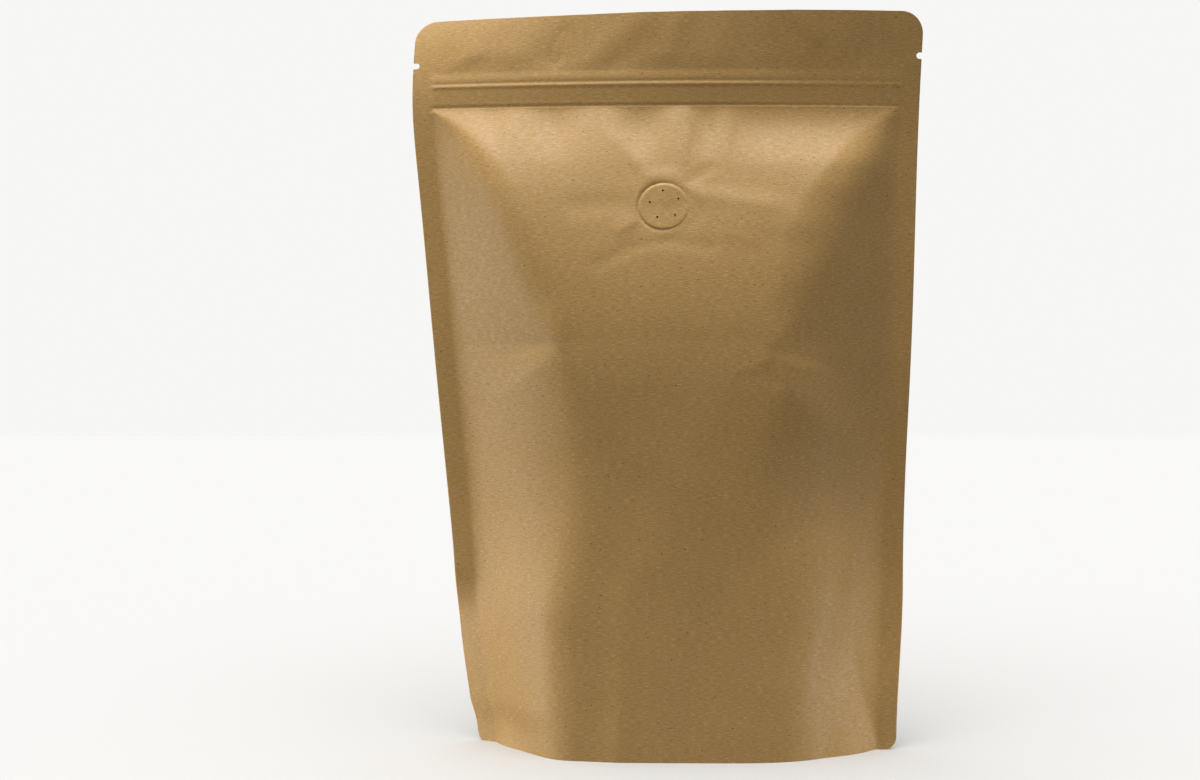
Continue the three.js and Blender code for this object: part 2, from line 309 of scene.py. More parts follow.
def roofDepth(x, h):  # the crown read a little higher near the zip, and a sag that grows with x²
    fromZip = np.maximum(pouch["zipFoot"] - h, 0)
    late = roofOnset(x) * fromZip / (fromZip + roofOnset(x)) * rise(h, *roof["lateUp"])
    sag = roof["sag"] * (np.minimum(np.abs(x) / roof["sagHalf"], 1.2) ** 2 - 0.25)
    return crown(h + late) + sag * between(h, *roof["sagPart"])


def facet(start, reach, full, roundness, onset):
    # t runs from 0 at the seal to 1 at the ridge with a soft start; the depth is t plus a parabola of it,
    # and past the ridge it goes on straight and then steepens with the fourth power
    reach = np.maximum(reach, 0.5)
    t = start ** 2 / (start + onset) * (reach + onset) / reach ** 2
    past = np.maximum(t - 1, 0)
    rising = t + roundness * t * (1 - t)
    beyond = 1 + (1 - roundness) * past + 1.5 * past ** 4
    return full * np.where(t < 1, rising, beyond) + 0.02


def lower(a, b, soft):  # the smaller of two, less a parabola where they are closer than soft
    near = np.maximum(soft - np.abs(a - b), 0) / soft
    return np.minimum(a, b) - near ** 2 * soft / 4


sides = {  # the three numbers: over the dents, more under them, and more again towards the foot
    "roundLeft": (0.12, 0.34, 0.36),
    "roundRight": (0.45, 0.50, -0.14),
    "reachLeft": (0.0, 1.5, 16.0),
    "reachRight": (0.0, 3.0, 12.0),
    "footDown": (150, -60),  # the foot's part comes from this height down, over so much
    "easeDown": (92, -44),  # and the left reach grows less from here
    "ease": 0.6,
    "roundTopRight": -0.15,  # more, from the next height up
    "roundTopUp": (165, 50),
    "onsetLeft": (4.0, 6.0),  # how softly each side starts at its seal, and more below
    "onsetRight": (5.0, 9.0),
    "onsetDown": (120, -45),
    "softPart": (149, 18, 236, 26),  # the ridges are rounded off from here, over so much, to there
    "softLeft": 4.5,
    "softRight": (2.5, 5.0),
    "softUp": (168, 32),
    "softFoot": (146.0, 0.055),  # and more under this height, for each millimetre down
}
skirt = {
    "middle": 8.0,  # where the foot is deepest
    "powerLeft": 3.2,  # of the curve along the floor
    "powerRight": (4.2, 1.25),
    "lean": 0.05,  # back for each millimetre up
    "leanLeft": 0.16,  # more at the left ear, from the next place out, over so much
    "leftOut": (-30, -24),
    "leanRight": 0.28,
    "rightOut": (40, 26),
    "earShift": 0.34,  # the right ear's start moves out for each millimetre up
    "top": 75.0,
    "topLean": 0.5,  # over its top, turning to this within so much
    "topOver": 6.0,
    "soft": (0.4, 2.2, 4.0),  # rounding towards the body: middle, more at the sides, more on the right ear
    "softMiddle": 2.0,
    "softOut": (14, 22),
    "earPart": (45, 15, 78, 12),
}


dents = {  # place across, height, drop for each millimetre out, how tall the change is, and how it widens
    "left": (-38.5, 149.8, 0.19, 5, 0.6),
    "right": (41.7, 148, 0.25, 12, 0.9),
    "leftLine": (149.6, 3),  # the bulge under each dent begins along this line: height, and over so much
    "rightLine": (147, 5),
    "leftBulge": ((-45, 144), (9, 7), 0.35),  # middle, reach, height
    "rightBulge": ((50, 143), (10, 8), 0.5),
    "leftHollow": ((-33.5, 147), (4, 5), -0.15),
    "rightCrease": ((39.5, 149), (41, 132), 2.4, -0.5),  # start, end, width, height
}


def underDent(x, h, side):  # a soft step from 0 over the dent to 1 under it, fanning out towards the edge
    middle, height, drop, tall, widening = dents[side]
    away = np.maximum(middle - x if side == "left" else x - middle, 0)
    return smooth((height - drop * away - h) / (tall + widening * away))


def bodyDepth(x, h):  # two facets under a roof, the lower of them, and the skirt wherever it is farther out
    left, right = edges(h)
    fromLeft = np.maximum(x - left - pouch["seal"], 0)
    fromRight = np.maximum(right - pouch["seal"] - x, 0)
    ridgeLeft, ridgeRight = ridges(h)
    stepLeft, stepRight = underDent(x, h, "left"), underDent(x, h, "right")  # rounder under the dents
    growing = rise(h, *sides["footDown"])
    easing = 1 - sides["ease"] * rise(h, *sides["easeDown"])

    def grown(name, step):
        over, under, atFoot = sides[name]
        return over + under * step + atFoot * growing

    roundLeft = grown("roundLeft", stepLeft)
    roundRight = grown("roundRight", stepRight) + sides["roundTopRight"] * rise(h, *sides["roundTopUp"])
    reachLeft = ridgeLeft - left - pouch["seal"] + grown("reachLeft", stepLeft) * easing
    reachRight = right - pouch["seal"] - ridgeRight + grown("reachRight", stepRight)
    onsetLeft = sides["onsetLeft"][0] + sides["onsetLeft"][1] * stepLeft
    onsetRight = sides["onsetRight"][0] + sides["onsetRight"][1] * rise(h, *sides["onsetDown"])
    sideLeft = facet(fromLeft, reachLeft, roofDepth(ridgeLeft, h), roundLeft, onsetLeft)
    sideRight = facet(fromRight, reachRight, roofDepth(ridgeRight, h), roundRight, onsetRight)
    softRight = sides["softRight"][0] + sides["softRight"][1] * rise(h, *sides["softUp"])
    soft = 1 + np.where(x < 0, sides["softLeft"], softRight) * between(h, *sides["softPart"])
    soft = soft + sides["softFoot"][1] * np.maximum(sides["softFoot"][0] - h, 0)
    barrel = lower(np.where(x < 0, sideLeft, sideRight), roofDepth(x, h), soft)
    # the skirt: one round curve along the floor, leaning back upwards at the ears
    footLeft, footRight = edges(np.zeros(1))
    middle = skirt["middle"]
    acrossLeft = np.clip((middle - x) / (middle - footLeft - pouch["seal"]), 0, 1)
    acrossRight = np.clip((x - middle) / (footRight - pouch["seal"] - middle), 0, 1)
    innerPower, outerPower = skirt["powerRight"]
    foot = (1 - acrossLeft ** skirt["powerLeft"]) * (1 - acrossRight ** innerPower) ** outerPower
    lean = skirt["lean"] + skirt["leanLeft"] * rise(x, *skirt["leftOut"])
    lean = lean + skirt["leanRight"] * rise(x - skirt["earShift"] * h, *skirt["rightOut"])
    overTop = skirt["topLean"] * ramp(h - skirt["top"], skirt["topOver"])
    skirtDepth = pouch["footDepth"] * foot - lean * h - overTop
    plainSoft, sideSoft, earSoft = skirt["soft"]
    blend = plainSoft + sideSoft * rise(np.abs(x - skirt["softMiddle"]), *skirt["softOut"])
    blend = blend + earSoft * between(x, *skirt["earPart"])
    depth = -lower(-barrel, -skirtDepth, blend)
    return np.where(h < pouch["zipFoot"], np.maximum(depth, 0), 0)


def streak(x, h, start, end, width, fade=0.35):
    # a soft straight crease between two places: a bell across it, and a smooth step at each end
    alongX, alongH = end[0] - start[0], end[1] - start[1]
    length = np.hypot(alongX, alongH)
    along = ((x - start[0]) * alongX + (h - start[1]) * alongH) / length ** 2
    across = ((x - start[0]) * alongH - (h - start[1]) * alongX) / length
    return bell(across / width) * smooth(along / fade + 0.3) * smooth((1 - along) / fade + 0.3)


def ripple(x, h, seed, wave, count=9, across=(0, 2 * np.pi)):
    # uneven swells: a sum of sines of random direction and phase, over the root of their number
    draw = np.random.default_rng(seed)
    total = 0
    for _ in range(count):
        angle, phase, scale = draw.uniform(*across), draw.uniform(0, 2 * np.pi), draw.uniform(0.7, 1.6)
        total = total + np.sin((x * cos(angle) + h * sin(angle)) * 2 * np.pi / (wave * scale) + phase)
    return total / count ** 0.5


zipper = {  # in millimetres out of the band
    "flange": (0.34, 3.6),  # height, and so much of it under the zip's top to reach it
    "plate": (0.10, 5),  # so much lower, and so far down under the rib to get there
    "rib": (0.30, 0.72),  # height and half width
    "hairline": (0.10, 0.45),
    "beside": 1.3,  # from the rib's middle up to the hairline, and down to where the plate begins
    "foot": (0.2, 1.3),  # it ends softly, from so far over the zip's foot
    "fade": 0.72,  # how much of it is lost towards the right
    "fadeOut": (12, 62),
    "atBack": 0.8,
}


def insideSeals(x, h):  # 1 between the side seals, 0 on them
    left, right = edges(h)
    return smooth((x - left - 6) / 2.5) * smooth((right - 6 - x) / 2.5)


def zipRelief(x, h):  # a flat flange, a thin rib with a hairline over it, and the plate down to the zip's foot
    ribUp, ribHalf = zipper["rib"]
    lineDown, lineHalf = zipper["hairline"]
    flangeUp, flangeOver = zipper["flange"]
    plateDown, plateOver = zipper["plate"]
    footGap, footOver = zipper["foot"]
    overRib = h - pouch["zipRib"]
    flange = flangeUp * rise(h, pouch["zipTop"], -flangeOver)
    flange = flange - plateDown * rise(overRib, -zipper["beside"], -plateOver)
    rib = ribUp * bell(overRib / ribHalf) - lineDown * bell((overRib - zipper["beside"]) / lineHalf)
    fade = 1 - zipper["fade"] * rise(x, *zipper["fadeOut"])
    return (flange + rib) * fade * rise(h, pouch["zipFoot"] + footGap, footOver) * insideSeals(x, h)


creases = [  # round the valve: start, end, width, height
    ((-20, 229), (-4, 209.5), 3.0, 0.42),
    ((9.5, 230), (4.5, 211), 2.2, 0.22),
    ((6.5, 207.5), (20, 216), 2.2, -0.28),
    ((6, 205), (46, 199), 3.4, 0.55),
    ((16, 196), (60, 192), 5.5, 0.38),
    ((-38, 199.5), (-11, 200.5), 3.8, -0.40),
    ((-7, 196.5), (-18, 189), 2.3, 0.32),
    ((-11, 184.5), (5, 186.6), 2.0, -0.26),
    ((2, 186.6), (20, 183.5), 2.2, -0.26),
    ((-8, 186), (-27, 176), 2.6, -0.26),
    ((20, 190), (36, 186), 2.8, 0.18),
]
bandFolds = [  # in the band over the zip: start, end, width, height
    ((-37, 271), (-43, 252), 2.6, -0.40),
    ((-5, 276), (-34, 249), 6.0, 0.60),
    ((-80, 262), (-50, 259), 4.5, 0.22),
    ((-84, 252), (-70, 262), 3.0, 0.25),
    ((58.5, 265), (52.5, 257), 0.8, 0.12),
    ((44, 278), (60, 262), 4.0, 0.30),
    ((8, 276), (-2, 254), 4.0, 0.25),
]


def bulge(x, h, name):  # a round hill or hollow at a dent: a bell of the distance from its middle
    middle, reach, tall = dents[name]
    return tall * bell(np.hypot((x - middle[0]) / reach[0], (h - middle[1]) / reach[1]))


def frontDepth(x, h):  # the body with its dents and zip, pressed flat round the valve, with creases from there
    lineLeft, overLeft = dents["leftLine"]
    lineRight, overRight = dents["rightLine"]
    underLeft = rise(h, lineLeft - dents["left"][2] * (dents["left"][0] - x), -overLeft)
    underRight = rise(h, lineRight - dents["right"][2] * (x - dents["right"][0]), -overRight)
    depth = bodyDepth(x, h) + bulge(x, h, "leftBulge") * underLeft + bulge(x, h, "rightBulge") * underRight
    start, end, width, tall = dents["rightCrease"]
    depth = depth + bulge(x, h, "leftHollow") + tall * streak(x, h, start, end, width)
    depth = depth + zipRelief(x, h)
    away = fromValve(x, h)
    seat = 1 - rise(away, valve["seatRadius"], valve["seatBlend"])
    flat = valve["depth"] - pouch["paper"] - tan(valve["lean"]) * (h - valve["height"])
    depth = depth * (1 - seat) + flat * seat
    clear = rise(away, valve["creaseStart"], valve["creaseBlend"])
    for start, end, width, tall in creases:
        depth = depth + tall * streak(x, h, start, end, width) * clear
    return depth + pouch["paper"]


def backDepth(x, h):  # the same body, with the zip showing less
    return bodyDepth(x, h) + zipper["atBack"] * zipRelief(x, h) + pouch["paper"]


def fromValve(x, h):  # distance from the valve's middle in the plane of its face
    return np.hypot(x, (h - valve["height"]) / cos(valve["lean"]))


sheet = {  # how the sealed sheet leaves its plane
    "curlLeft": 0.55,  # slope backwards of the left seal's lower end
    "curlBreadth": 10.0,  # from the edge in
    "leftDown": (66, -22),  # from this height down, over so much
    "curlRight": 8.0,  # the right seal's foot comes so far forward
    "rightOut": (56, 22),
    "rightDown": (75, -75),
    "bow": 5.0,  # of the zip, backwards at both ends, this far out
    "bowEnd": 90.0,
    "bowUp": (120, 118),
    "lean": radians(31),  # of the band over the fold line, back at the left
    "leanForward": radians(7),  # and forward at the right
    "leanFrom": (95, 190),  # from the right end, over the whole breadth, as this power of the way
    "leanPower": 1.75,
    "foldSoft": 8.0,
    "swells": (0.22, 4, 60),  # height, seed, length
    "finerSwells": (0.09, 9, 20),
    "swellsUp": (250, 9),
    "cornerBend": 0.007,  # of the top left corner
    "cornerUp": (262, 3),
    "cornerOut": (-15, -55),
}


def place(x, h, depth):
    # a point of the front (depth over 0) or the back (under 0): forward by the depth, back by the curls,
    # the bow and the swells, and over the fold line back by the height times the sine of the lean
    left, _ = edges(h)
    curlLeft = sheet["curlLeft"] * np.maximum(left + sheet["curlBreadth"] - x, 0) * rise(h, *sheet["leftDown"])
    curlRight = sheet["curlRight"] * rise(x, *sheet["rightOut"]) * rise(h, *sheet["rightDown"])
    rightEnd, breadth = sheet["leanFrom"]
    lean = sheet["lean"] * np.clip((rightEnd - x) / breadth, 0, 1) ** sheet["leanPower"] - sheet["leanForward"]
    up = ramp(h - pouch["foldLine"], sheet["foldSoft"])
    bow = sheet["bow"] * (x / sheet["bowEnd"]) ** 2 * rise(h, *sheet["bowUp"])
    swell, seed, length = sheet["swells"]
    finer, finerSeed, finerLength = sheet["finerSwells"]
    wave = swell * ripple(x, h, seed, length) + finer * ripple(x, h, finerSeed, finerLength, 12, (-0.9, 0.1))
    for start, end, width, tall in bandFolds:
        wave = wave - tall * streak(x, h, start, end, width)
    cornerStart, cornerSoft = sheet["cornerUp"]
    corner = sheet["cornerBend"] * ramp(h - cornerStart, cornerSoft) ** 2 * rise(x, *sheet["cornerOut"])
    wave = wave * rise(h, *sheet["swellsUp"]) + corner
    return np.stack([x, -depth + curlLeft - curlRight + wave + bow + up * np.sin(lean), h + 0 * x], -1)


def stations(*zones):  # rows of (start, end, steps), close together where the shape turns quickly
    return np.concatenate([[zones[0][0]]] + [np.linspace(a, b, n + 1)[1:] for a, b, n in zones])


def notchRows(middle):  # rows across a tear notch, closest at its corners
    above = np.array([0.45, 0.75, 0.92, 0.99, 1.01, 1.3])
    return middle + pouch["notchWidth"] / 2 * np.concatenate([-above[::-1], [0], above])


def makeObject(name, points, faceLists, **attributes):  # millimetres in, metres out
    corners = np.concatenate([faces.ravel() for faces in faceLists]).astype(np.int32)
    sizes = np.concatenate([np.full(len(faces), faces.shape[1]) for faces in faceLists])
    mesh = bpy.data.meshes.new(name)
    mesh.vertices.add(len(points))
    mesh.vertices.foreach_set("co", (points * mm).astype(np.float32).ravel())
    mesh.loops.add(len(corners))
    mesh.loops.foreach_set("vertex_index", corners)
    mesh.polygons.add(len(sizes))
    mesh.polygons.foreach_set("loop_start", np.concatenate([[0], np.cumsum(sizes)[:-1]]).astype(np.int32))
    mesh.update(calc_edges=True)
    for key, values in attributes.items():
        if values.ndim == 2:
            layer = mesh.uv_layers.new(name=key)
            layer.uv.foreach_set("vector", values[corners].astype(np.float32).ravel())
        else:
            layer = mesh.attributes.new(key, "FLOAT", "POINT")
            layer.data.foreach_set("value", values.astype(np.float32))
    mesh.polygons.foreach_set("use_smooth", np.ones(len(sizes), dtype=bool))
    piece = bpy.data.objects.new(name, mesh)
    scene.collection.objects.link(piece)
    onPouch.objects.link(piece)
    return piece


def gridFaces(ids):  # quads of a grid of point numbers, rows by columns
    return np.stack([ids[:-1, :-1], ids[:-1, 1:], ids[1:, 1:], ids[1:, :-1]], -1).reshape(-1, 4)


grooveAt = np.array([0, 0.8, 2, 3.2, 4.5, 6, 8, 11])  # underside: distance in from the skirt
grooveUp = np.array([0, 0.2, 1.5, 2.2, 2.3, 1.3, 0, 0])  # and height there


def panel(name, depthAt, sign, rows, columnsAt, coarse, sink=None):
    # one half of the pouch: an outer face placed from its depth at every row and column, a cheap inner
    # face near the plane of the seals, and the underside between them
    x = columnsAt(rows)
    h = rows[:, None] + 0 * x
    if sink is not None:
        x, h = sink["warp"](x, h)
    depth = depthAt(x, h)
    outer = place(x, h, sign * depth)
    if sink is not None:
        outer = outer + sink["drop"](x, h)
    rowCount, columnCount = x.shape
    outerIds = np.arange(x.size).reshape(x.shape)
    # inner face: all columns in its first and last row, every few columns between
    flatX = columnsAt(rows)
    few = np.unique(np.r_[np.arange(0, columnCount, coarse), columnCount - 1])
    hair = sign * pouch["parting"]
    low = place(flatX[0], rows[0] + 0 * flatX[0], hair)
    high = place(flatX[-1], rows[-1] + 0 * flatX[-1], hair)
    inner = place(flatX[1:-1][:, few], (rows[1:-1, None] + 0 * flatX[1:-1])[:, few], hair)
    points = [outer.reshape(-1, 3), low, high, inner.reshape(-1, 3)]
    lowIds = x.size + np.arange(columnCount)
    highIds = lowIds + columnCount
    innerIds = highIds[-1] + 1 + np.arange(inner.shape[0] * len(few)).reshape(inner.shape[:2])
    nextId = innerIds[-1, -1] + 1
    # underside, from the skirt's edge in to the middle plane
    span = np.abs(low[:, 1] - outer[0, :, 1])
    part = np.minimum(span[:, None] / 15, 1)
    across = grooveAt[None, 1:] * part * np.where(span[:, None] < 11, span[:, None] / 11.5 / part, 1)
    under = np.repeat(outer[0][:, None, :], len(grooveAt) - 1, 1)
    under[..., 1] += sign * across
    under[..., 2] = grooveUp[None, 1:] * part
    points.append(under.reshape(-1, 3))
    underIds = nextId + np.arange(under.shape[0] * under.shape[1]).reshape(under.shape[:2])
    underIds = np.concatenate([outerIds[0][:, None], underIds, lowIds[:, None]], 1)
    faces = [gridFaces(outerIds), gridFaces(underIds), underIds[:1, ::-1], underIds[-1:]]
    # inner face, between its whole first and last rows
    faces.append(gridFaces(innerIds)[:, ::-1])
    for first in range(len(few) - 1):
        a, b = few[first], few[first + 1]
        foot = np.r_[lowIds[a:b + 1][::-1], innerIds[0, first], innerIds[0, first + 1]]
        head = np.r_[highIds[a:b + 1], innerIds[-1, first + 1], innerIds[-1, first]]
        faces += [foot[None], head[None]]
    faces.append(gridFaces(np.stack([outerIds[-1], highIds])))
    # the cut edges at the sides
    leftInner = np.r_[lowIds[0], innerIds[:, 0], highIds[0]]
    rightInner = np.r_[lowIds[-1], innerIds[:, -1], highIds[-1]]
    faces.append(gridFaces(np.stack([leftInner, outerIds[:, 0]], 1)))
    faces.append(gridFaces(np.stack([outerIds[:, -1], rightInner], 1)))
    if sign < 0:
        faces = [f[:, ::-1] for f in faces]
    # unrolled place of every point, in millimetres: along the row from the middle, and up
    steps = np.linalg.norm(np.diff(outer, axis=1), axis=2)
    along = np.concatenate([np.zeros((rowCount, 1)), np.cumsum(steps, 1)], 1)
    along = along - along[:, [np.argmin(np.abs(x[0]))]]
    outerUv = np.stack([along, h], -1).reshape(-1, 2)
    rest = np.concatenate(points[1:])
    points = np.concatenate(points)
    restUv = np.stack([rest[:, 0], rest[:, 2] - sign * rest[:, 1]], -1)
    return makeObject(name, points, faces, UVMap=np.concatenate([outerUv, restUv]))


def edgeColumns(rows, middle, nearEdge):
    # sideways places of every row: measured from the edges over the seals, spread evenly to the middle block
    leftEdge, rightEdge = edges(rows)
    leftCut, rightCut = cornerCut(rows)
    leftCut = leftCut + notchCut(rows, pouch["notchLeft"], pouch["notchDepth"])
    rightCut = rightCut + notchCut(rows, pouch["notchRight"], pouch["notchDepthRight"])
    near, spread = nearEdge["at"], nearEdge["steps"]
    squeeze = (near[-1] - np.stack([leftCut, rightCut])) / near[-1]
    fromLeft = (leftEdge + leftCut)[:, None] + near[None] * squeeze[0][:, None]
    fromRight = (rightEdge - rightCut)[:, None] - near[None, ::-1] * squeeze[1][:, None]
    t = np.linspace(0, 1, spread + 1)[None, 1:-1]
    toBlock = fromLeft[:, -1:] * (1 - t) + middle[0] * t
    offBlock = middle[-1] * (1 - t) + fromRight[:, :1] * t
    block = np.repeat(middle[None], len(rows), 0)
    return np.concatenate([fromLeft, toBlock, block, offBlock, fromRight], 1)


ringAt = np.array([
    2, 4, 6, 8, 9, 9.34, 9.35, 9.42, 9.5, 9.6, 9.72, 9.85, 10, 10.2, 10.5, 10.9, 11.4, 12, 12.8, 13.8, 15, 16.4,
])
front = {
    "block": np.concatenate([-ringAt[::-1], [0], ringAt]),  # these columns and rows turn into rings
    "near": {"at": np.array([0, 0.4, 1.2, 2.4, 3.8, 5.2, 6.0, 6.6, 7.2, 7.8, 8.6, 9.6, 11, 12.5]), "steps": 46},
}
blockHalf = ringAt[-1]
lowBlock = valve["height"] - blockHalf * cos(valve["lean"])
highBlock = valve["height"] + blockHalf * cos(valve["lean"])
footArc = pouch["footRound"] * (1 - np.cos(np.linspace(0, np.pi / 2, 8)))
headArc = pouch["height"] - pouch["topRound"] + pouch["topRound"] * np.sin(np.linspace(0, np.pi / 2, 13))
front["rows"] = np.unique(np.round(np.concatenate([
    footArc,
    stations((pouch["footRound"], 24, 14), (24, 70, 30), (70, 132, 32), (132, 160, 34), (160, lowBlock, 16)),
    valve["height"] + front["block"] * cos(valve["lean"]),
    stations((highBlock, 236, 22), (236, 254, 52), (254, headArc[0], 10)),
    notchRows(pouch["notchLeft"]), notchRows(pouch["notchRight"]),
    headArc,
]), 5))


def ringWarp(x, h):
    # inside the block, squares about the valve become circles: the distance from the middle stays the
    # larger of the two, and the place along the square's side becomes an angle
    u, v = x / blockHalf, (h - valve["height"]) / cos(valve["lean"]) / blockHalf
    size = np.maximum(np.abs(u), np.abs(v))
    here = size < 0.99999
    safe = np.maximum(size, 1e-9)
    flatWise = np.abs(u) >= np.abs(v)
    angle = np.pi / 4 * np.where(flatWise, v, u) / safe * np.sign(np.where(flatWise, u, v))
    roundU = np.where(flatWise, np.sign(u) * np.cos(angle), np.sign(v) * np.sin(angle)) * size
    roundV = np.where(flatWise, np.sign(u) * np.sin(angle), np.sign(v) * np.cos(angle)) * size
    roundness = smooth((1 - size) / 0.25) * here
    newX = np.where(here, (u * (1 - roundness) + roundU * roundness) * blockHalf, x)
    newV = v * (1 - roundness) + roundV * roundness
    newH = np.where(here, valve["height"] + newV * blockHalf * cos(valve["lean"]), h)
    return newX, newH


def grooveDrop(r, angle):  # a bell across a ring, deepest at the upper left and wider on the paper's side
    width = np.where(r < valve["grooveRadius"], 1, 1.5) * valve["grooveWidth"]
    deep = valve["grooveDepth"] + valve["grooveMore"] * np.cos(angle - valve["grooveDeepest"])
    return deep * bell((r - valve["grooveRadius"]) / width)


def seatDrop(x, h):
    # the groove falls as half a bell towards the disc's edge, then straight down to the seat's floor
    r = fromValve(x, h)
    drop = grooveDrop(r, np.arctan2(h - valve["height"], x))
    drop = np.where(r < valve["grooveRadius"] - 0.001, valve["seatFloor"], drop)
    drop = np.where(r < 14, drop, 0)
    return np.stack([0 * drop, cos(valve["lean"]) * drop, -sin(valve["lean"]) * drop], -1)


frontPanel = panel(
    "frontPanel", frontDepth, 1, front["rows"],
    lambda rows: edgeColumns(rows, front["block"], front["near"]),
    8, {"warp": ringWarp, "drop": seatDrop},
)
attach(frontPanel, "root")
print("front panel:", len(frontPanel.data.polygons), "faces")


back = {
    "near": {"at": np.array([0, 0.6, 2.4, 4.8, 6.2, 7.0, 8.0, 9.4, 11, 12.5]), "steps": 30},
    "block": np.linspace(-14, 14, 11),
    "rows": np.unique(np.round(np.concatenate([
        footArc,
        stations((pouch["footRound"], 24, 10), (24, 132, 40), (132, 160, 22)),
        stations((160, 236, 38), (236, 254, 40), (254, headArc[0], 8)),
        notchRows(pouch["notchLeft"]), notchRows(pouch["notchRight"]),
        headArc,
    ]), 5)),
}
backPanel = panel(
    "backPanel", backDepth, -1, back["rows"],
    lambda rows: edgeColumns(rows, back["block"], back["near"]),
    6,
)
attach(backPanel, "root")
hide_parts("pouch")
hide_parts("pouch")
print("back panel:", len(backPanel.data.polygons), "faces")


disc = {
    "face": [0, 1.2, 2.4, 3.4, 4.1, 4.5],  # ring radii: plain, then close over the ring of vent holes
    "holes": np.linspace(4.6, 6.5, 28),
    "outer": [7.0, 7.5, 7.9, 8.2, 8.4, 8.55, 8.7, 8.82, 8.94, 9.05, 9.15, 9.24, 9.31, 9.338],
    "nearHole": np.linspace(-0.85, 0.85, 25),  # millimetres round the ring from each hole
    "between": 12,
    "shoulder": (0.13, 0.08),  # height of the round shoulder, and how much more at the top
    "fold": 0.028,  # slope away from a faint fold across the middle
    "swell": 0.05,
    "pitDepth": 0.9,
    "burr": 0.07,  # raised round each pit
}
holeAngles = valve["firstHole"] + 2 * np.pi / valve["holeCount"] * np.arange(valve["holeCount"])
stepAngle = 2 * np.pi / valve["holeCount"]
nearAngles = disc["nearHole"] / valve["holeCircle"]
farAngles = np.linspace(nearAngles[-1], stepAngle - nearAngles[-1], disc["between"] + 2)[1:-1]
turns = (holeAngles[:, None] + np.concatenate([nearAngles, farAngles])[None]).ravel()
radii = np.concatenate([disc["face"][1:], disc["holes"], disc["outer"]])
r, a = np.meshgrid(radii, turns, indexing="ij")
shift = smooth((9 - r) / 2.4)  # the vent holes sit a little off centre, and the rings shift with them
discX, discUp = r * np.cos(a) + valve["holeShift"][0] * shift, r * np.sin(a) + valve["holeShift"][1] * shift
holeX = valve["holeCircle"] * np.cos(holeAngles) + valve["holeShift"][0]
holeUp = valve["holeCircle"] * np.sin(holeAngles) + valve["holeShift"][1]
toHole = np.min(np.hypot(discX[..., None] - holeX, discUp[..., None] - holeUp), -1)
# face: a raised round shoulder, a faint fold, a swell, and pits with a small burr round each, less the groove
shoulder = (disc["shoulder"][0] + disc["shoulder"][1] * np.sin(a)) * smooth((9.15 - r) / 1.3)
fold = disc["fold"] * (np.hypot(discUp, 1.5) - 1.5) * smooth((9.3 - r) / 0.8)
swell = disc["swell"] * ripple(discX, discUp, 8, 13) * smooth((9.3 - r) / 1.5)
pit = disc["pitDepth"] * smooth((valve["holeRadius"] + 0.07 - toHole) / 0.14)
burr = disc["burr"] * bell((toHole - valve["holeRadius"] - 0.16) / 0.15)
out = shoulder + fold + swell - grooveDrop(r, a) - pit + burr
rings, spokes = r.shape
facePoints = np.stack([discX, out, discUp], -1).reshape(-1, 3)
backRadii = np.array([valve["grooveRadius"] - valve["discGap"], 6.8, 5.0, 4.2])
br, ba = np.meshgrid(backRadii, turns, indexing="ij")
behind = np.stack([br * np.cos(ba), 0 * br - valve["discThick"], br * np.sin(ba)], -1).reshape(-1, 3)
middleFace = np.array([[valve["holeShift"][0], out[0].mean(), valve["holeShift"][1]]])
middleBack = np.array([[0, -valve["discThick"], 0]])
local = np.concatenate([facePoints, behind, middleFace, middleBack])
ids = np.arange(rings * spokes).reshape(rings, spokes)
backIds = rings * spokes + np.arange(behind.shape[0]).reshape(len(backRadii), spokes)
ids = np.concatenate([ids, ids[:, :1]], 1)  # the first spoke comes again, which shuts the rings
backIds = np.concatenate([backIds, backIds[:, :1]], 1)
stack = np.concatenate([ids, backIds])
centreFront = len(local) - 2
centreBack = len(local) - 1
fan = np.stack([np.full(spokes, centreFront), ids[0, 1:], ids[0, :-1]], 1)
fanBack = np.stack([np.full(spokes, centreBack), backIds[-1, :-1], backIds[-1, 1:]], 1)
lean = valve["lean"]
discPoints = np.stack([
    local[:, 0],
    -valve["depth"] - cos(lean) * local[:, 1] + sin(lean) * local[:, 2],
    valve["height"] + sin(lean) * local[:, 1] + cos(lean) * local[:, 2],
], -1)
# painted shade: a mask over the vent holes, where the disc's colour turns near black for the shade inside them
holeShadeMask = smooth((valve["holeRadius"] + 0.05 - toHole) / 0.2).ravel()
paintedHoleShade = np.concatenate([holeShadeMask, np.zeros(len(local) - len(holeShadeMask))])
valveDisc = makeObject(
    "valveDisc", discPoints, [gridFaces(stack)[:, ::-1], fan[:, ::-1], fanBack[:, ::-1]],
    UVMap=np.stack([local[:, 0], local[:, 2] + valve["height"]], -1), pit=paintedHoleShade,
)
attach(valveDisc, "root")
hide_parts("valve")
print("valve disc:", len(valveDisc.data.polygons), "faces")


kraft = {
    "light": (0.475, 0.284, 0.093, 1),
    "dark": (0.390, 0.221, 0.061, 1),
    "fibreLight": (0.60, 0.44, 0.25, 1),
    "fibreDark": (0.24, 0.135, 0.055, 1),
    "fleck": (0.10, 0.055, 0.03, 1),
    # painted shade: near black, for the shade inside the vent holes
    "pit": (0.03, 0.018, 0.01, 1),
    "roughness": 0.52,
    "specular": 0.28,
    "bump": 0.35,
    "bumpDistance": 0.00018,
}


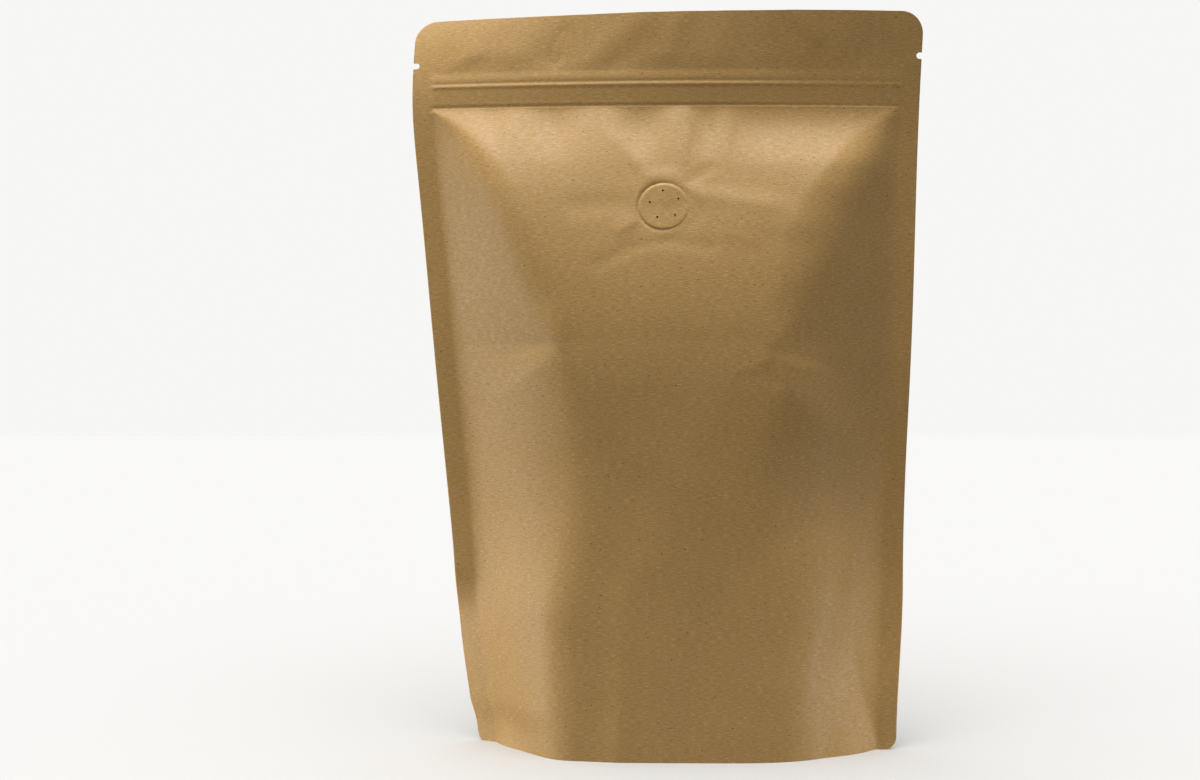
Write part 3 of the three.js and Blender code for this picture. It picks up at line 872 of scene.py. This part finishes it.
def kraftPaper(name, pits=False):
    material = bpy.data.materials.new(name)
    material.use_nodes = True
    nodes, links = material.node_tree.nodes, material.node_tree.links
    shader = nodes["Principled BSDF"]

    def node(kind, **settings):
        made = nodes.new(kind)
        for key, value in settings.items():
            setattr(made, key, value)
        return made

    def feed(target, value):
        if isinstance(value, bpy.types.NodeSocket):
            links.new(value, target)
        else:
            target.default_value = value

    def math(operation, a, b=0.0):
        made = node("ShaderNodeMath", operation=operation)
        feed(made.inputs[0], a)
        feed(made.inputs[1], b)
        return made.outputs[0]

    def span(value, low, high, toLow=0.0, toHigh=1.0):
        made = node("ShaderNodeMapRange", interpolation_type="SMOOTHSTEP")
        feed(made.inputs["Value"], value)
        for key, number in (("From Min", low), ("From Max", high), ("To Min", toLow), ("To Max", toHigh)):
            made.inputs[key].default_value = number
        return made.outputs["Result"]

    def blend(amount, a, b):
        made = node("ShaderNodeMix", data_type="RGBA")
        feed(made.inputs["Factor"], amount)
        feed(made.inputs["A"], a)
        feed(made.inputs["B"], b)
        return made.outputs["Result"]

    unrolled = node("ShaderNodeUVMap", uv_map="UVMap").outputs["UV"]

    def noise(stretch, scale, detail=2.0, rough=0.5, offset=(0, 0, 0)):
        mapped = node("ShaderNodeMapping")
        links.new(unrolled, mapped.inputs["Vector"])
        mapped.inputs["Scale"].default_value = (stretch[0], stretch[1], 1)
        mapped.inputs["Location"].default_value = offset
        made = node("ShaderNodeTexNoise", noise_dimensions="2D")
        links.new(mapped.outputs["Vector"], made.inputs["Vector"])
        made.inputs["Scale"].default_value = scale
        made.inputs["Detail"].default_value = detail
        made.inputs["Roughness"].default_value = rough
        return made.outputs["Fac"]

    cloudy = noise((1, 1.6), 0.035, 3, 0.55)
    mottle = noise((0.6, 1.4), 0.55, 3, 0.6)
    fibre = noise((0.42, 2.6), 1.0, 3, 0.6)
    fibreFine = noise((0.8, 4.2), 1.3, 2, 0.5, (7, 3, 0))
    grain = noise((1, 1), 3.5, 2, 0.6)
    fleck = noise((0.55, 1.0), 1.15, 1, 0.5, (31, 17, 0))
    base = blend(span(cloudy, 0.2, 0.8, 0.35, 0.65), kraft["dark"], kraft["light"])
    layers = [  # pattern, where it starts and is full, strength, colour
        (mottle, 0.45, 0.75, 0.22, "light"),
        (fibre, 0.56, 0.72, 0.45, "fibreLight"),
        (fibre, 0.44, 0.30, 0.42, "fibreDark"),
        (fibreFine, 0.60, 0.74, 0.40, "fibreLight"),
        (fibreFine, 0.38, 0.26, 0.35, "fibreDark"),
        (fleck, 0.775, 0.82, 0.75, "fleck"),
    ]
    for pattern, start, full, strength, colour in layers:
        base = blend(math("MULTIPLY", span(pattern, start, full), strength), base, kraft[colour])
    if pits:
        # painted shade: the vent holes' mask darkens the colour to near black, for the shade inside them
        deep = node("ShaderNodeAttribute", attribute_name="pit").outputs["Fac"]
        base = blend(deep, base, kraft["pit"])
    links.new(base, shader.inputs["Base Color"])

    height = math("ADD", math("MULTIPLY", fibre, 0.55), math("MULTIPLY", grain, 0.25))
    height = math("ADD", height, math("MULTIPLY", fibreFine, 0.35))
    height = math("ADD", height, math("MULTIPLY", mottle, 0.7))
    bump = node("ShaderNodeBump")
    bump.inputs["Strength"].default_value = kraft["bump"]
    bump.inputs["Distance"].default_value = kraft["bumpDistance"]
    links.new(height, bump.inputs["Height"])
    links.new(bump.outputs["Normal"], shader.inputs["Normal"])
    rough = span(mottle, 0.3, 0.7, kraft["roughness"] - 0.06, kraft["roughness"] + 0.08)
    links.new(rough, shader.inputs["Roughness"])
    shader.inputs["Specular IOR Level"].default_value = kraft["specular"]
    return material


paper = kraftPaper("kraftPaper")
frontPanel.data.materials.append(paper)
backPanel.data.materials.append(paper)
valveDisc.data.materials.append(kraftPaper("kraftOverValve", pits=True))
print("kraft paper on every piece")
